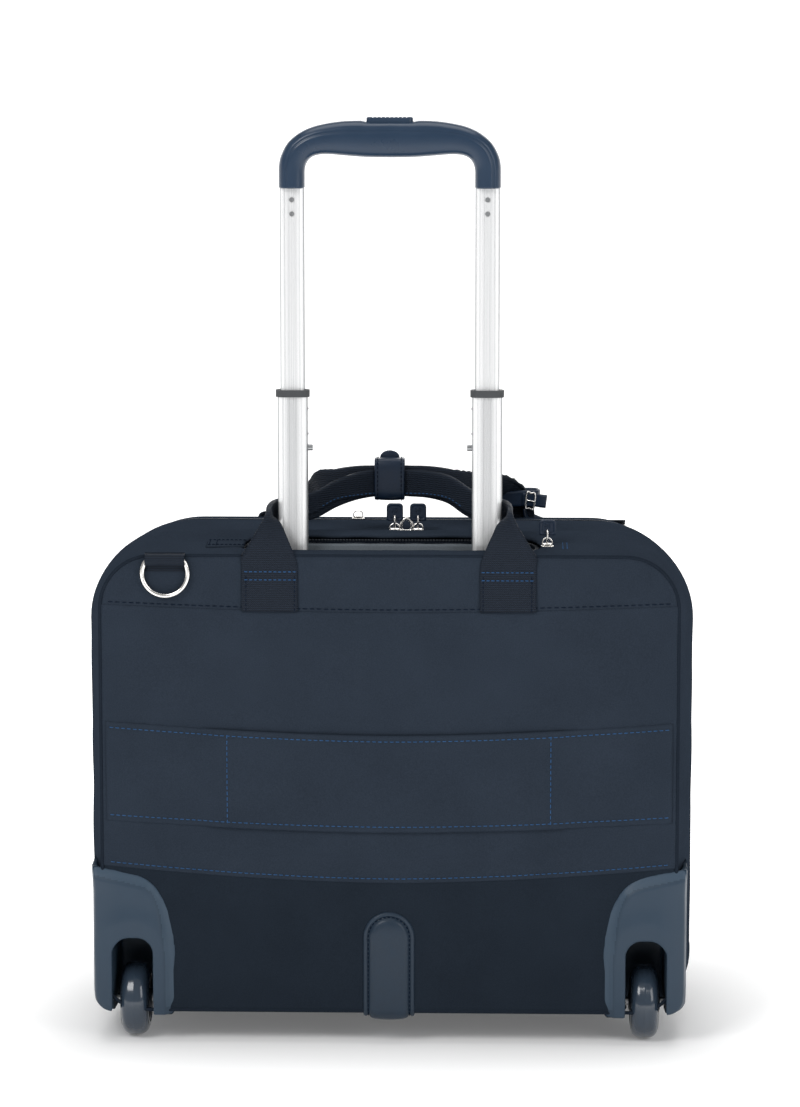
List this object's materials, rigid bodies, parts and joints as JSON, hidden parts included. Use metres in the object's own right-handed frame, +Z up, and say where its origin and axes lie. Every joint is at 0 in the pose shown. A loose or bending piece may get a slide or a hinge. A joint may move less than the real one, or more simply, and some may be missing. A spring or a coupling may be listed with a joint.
{
  "type": "rolling laptop case",
  "caption": "Soft wheeled laptop case with telescopic pull handle, webbing carry handles, zipped compartments, moulded corner guards and a sleeve for stacking on luggage.",
  "frame": {"origin": "centre of the case's footprint on the floor", "axes": "+X to the right seen from the back, +Y towards the front, +Z up"},
  "size_m": [0.4486, 0.214, 0.6664],
  "materials": {
    "shell_fabric": "fine satin nylon twill, navy",
    "zip_tape": "woven zip tape with moulded teeth, near black",
    "lining": "light grey woven lining",
    "board": "stiff polypropylene board",
    "webbing": "ribbed polyester webbing, navy",
    "leather": "smooth navy coated leather with stitching",
    "guard_plastic": "slate navy moulded polypropylene, fine grain",
    "grip_plastic": "satin navy moulded plastic",
    "dark_plastic": "dark grey nylon",
    "aluminium": "bright anodised extrusion",
    "steel": "plain steel",
    "bright_metal": "polished nickel plated zinc",
    "tyre": "glossy navy polyurethane",
    "hub_plastic": "dark moulded nylon"
  },
  "bodies": {
    "case": {"back_panel": "shell_fabric", "base_panel": "shell_fabric", "rear_gusset": "shell_fabric", "front_gusset": "shell_fabric", "front_panel": "shell_fabric", "front_pocket": "shell_fabric", "luggage_band": "shell_fabric", "ring_tab_rear": "shell_fabric", "ring_tab_front": "shell_fabric", "main_zip_chain": "zip_tape", "lid_zip_chain": "zip_tape", "handle_zip_chain": "zip_tape", "divider_wall": "lining", "laptop_sleeve": "lining", "base_board": "board", "rear_carry_strap": "webbing", "front_carry_strap": "webbing", "handle_wrap": "leather", "wrap_snap": "bright_metal", "name_tag": "leather", "kick_pad": "leather", "corner_guard_left": "guard_plastic", "corner_guard_right": "guard_plastic", "wheel_axles": "steel", "fixed_tubes": "aluminium", "fixed_collars": "dark_plastic", "tube_top_bracket": "dark_plastic", "tube_base_bracket": "dark_plastic", "bracket_screws": "steel", "front_feet": "dark_plastic"},
    "middle_stage": {"middle_tubes": "aluminium", "middle_collars": "dark_plastic", "middle_plugs": "dark_plastic", "guide_rivets": "steel"},
    "upper_stage": {"upper_tubes": "aluminium", "upper_plugs": "dark_plastic", "grip_body": "grip_plastic", "grip_cover": "grip_plastic", "grip_rivets": "steel", "button_spring": "steel"},
    "release": {"release_button": "grip_plastic", "release_bar": "steel"},
    "lock_pin_left": {"lock_pin_left": "steel"},
    "lock_pin_right": {"lock_pin_right": "steel"},
    "detent_left": {"detent_pin_left": "steel"},
    "detent_right": {"detent_pin_right": "steel"},
    "wheel_left": {"hub_left": "hub_plastic", "tyre_left": "tyre"},
    "wheel_right": {"hub_right": "hub_plastic", "tyre_right": "tyre"},
    "ring_rear": {"ring_rear": "bright_metal"},
    "ring_front": {"ring_front": "bright_metal"},
    "main_slider_left": {"main_slider_left": "bright_metal"},
    "main_slider_right": {"main_slider_right": "bright_metal"},
    "main_pull_left": {"main_pull_left": "leather"},
    "main_pull_right": {"main_pull_right": "leather"},
    "handle_slider": {"handle_slider": "bright_metal"},
    "handle_pull": {"handle_pull": "leather"},
    "lid_slider": {"lid_slider": "bright_metal"}
  },
  "joints": [
    {"name": "handle_middle_slide", "type": "slide", "parent": "case", "child": "middle_stage", "axis": [0, 0, 1], "range_m": [-0.185, 0]},
    {"name": "handle_upper_slide", "type": "slide", "parent": "middle_stage", "child": "upper_stage", "axis": [0, 0, 1], "range_m": [-0.125, 0]},
    {"name": "release_press", "type": "slide", "parent": "upper_stage", "child": "release", "axis": [0, 0, -1], "range_m": [0, 0.003], "stiffness_N_per_m": 1500, "deforming": ["button_spring"]},
    {"name": "lock_pin_left_slide", "type": "slide", "parent": "upper_stage", "child": "lock_pin_left", "axis": [-1, 0, 0], "range_m": [0, 0.005]},
    {"name": "lock_pin_right_slide", "type": "slide", "parent": "upper_stage", "child": "lock_pin_right", "axis": [1, 0, 0], "range_m": [0, 0.005]},
    {"name": "detent_left_slide", "type": "slide", "parent": "middle_stage", "child": "detent_left", "axis": [-1, 0, 0], "range_m": [0, 0.002], "stiffness_N_per_m": 800},
    {"name": "detent_right_slide", "type": "slide", "parent": "middle_stage", "child": "detent_right", "axis": [1, 0, 0], "range_m": [0, 0.002], "stiffness_N_per_m": 800},
    {"name": "wheel_left_spin", "type": "hinge", "parent": "case", "child": "wheel_left", "pos_m": [-0.185, -0.077, 0.027], "axis": [1, 0, 0], "continuous": true},
    {"name": "wheel_right_spin", "type": "hinge", "parent": "case", "child": "wheel_right", "pos_m": [0.185, -0.077, 0.027], "axis": [1, 0, 0], "continuous": true},
    {"name": "ring_rear_swing", "type": "hinge", "parent": "case", "child": "ring_rear", "pos_m": [-0.1595, -0.1033, 0.3535], "axis": [-1, 0, 0], "range_deg": [0, 150]},
    {"name": "ring_front_swing", "type": "hinge", "parent": "case", "child": "ring_front", "pos_m": [0.1595, 0.0923, 0.3535], "axis": [1, 0, 0], "range_deg": [0, 150]},
    {"name": "main_slider_left_run", "type": "slide", "parent": "case", "child": "main_slider_left", "axis": [1, 0, 0], "range_m": [-0.13, 0]},
    {"name": "main_slider_right_run", "type": "slide", "parent": "case", "child": "main_slider_right", "axis": [1, 0, 0], "range_m": [0, 0.13]},
    {"name": "main_pull_left_flip", "type": "hinge", "parent": "main_slider_left", "child": "main_pull_left", "pos_m": [0.002, -0.021, 0.36694], "axis": [0, 1, 0], "range_deg": [-60, 0]},
    {"name": "main_pull_right_flip", "type": "hinge", "parent": "main_slider_right", "child": "main_pull_right", "pos_m": [0.019, -0.021, 0.36694], "axis": [0, 1, 0], "range_deg": [0, 60]},
    {"name": "handle_slider_run", "type": "slide", "parent": "case", "child": "handle_slider", "axis": [1, 0, 0], "range_m": [-0.012, 0]},
    {"name": "handle_pull_flip", "type": "hinge", "parent": "handle_slider", "child": "handle_pull", "pos_m": [0.113, -0.072, 0.36359], "axis": [0, 1, 0], "range_deg": [0, 60]},
    {"name": "lid_slider_run", "type": "slide", "parent": "case", "child": "lid_slider", "axis": [1, 0, 0], "range_m": [-0.12, 0.165]}
  ],
  "couplings": [
    {"joint": "lock_pin_left_slide", "follows": "release_press", "ratio": 1.6666},
    {"joint": "lock_pin_right_slide", "follows": "release_press", "ratio": 1.6666}
  ]
}
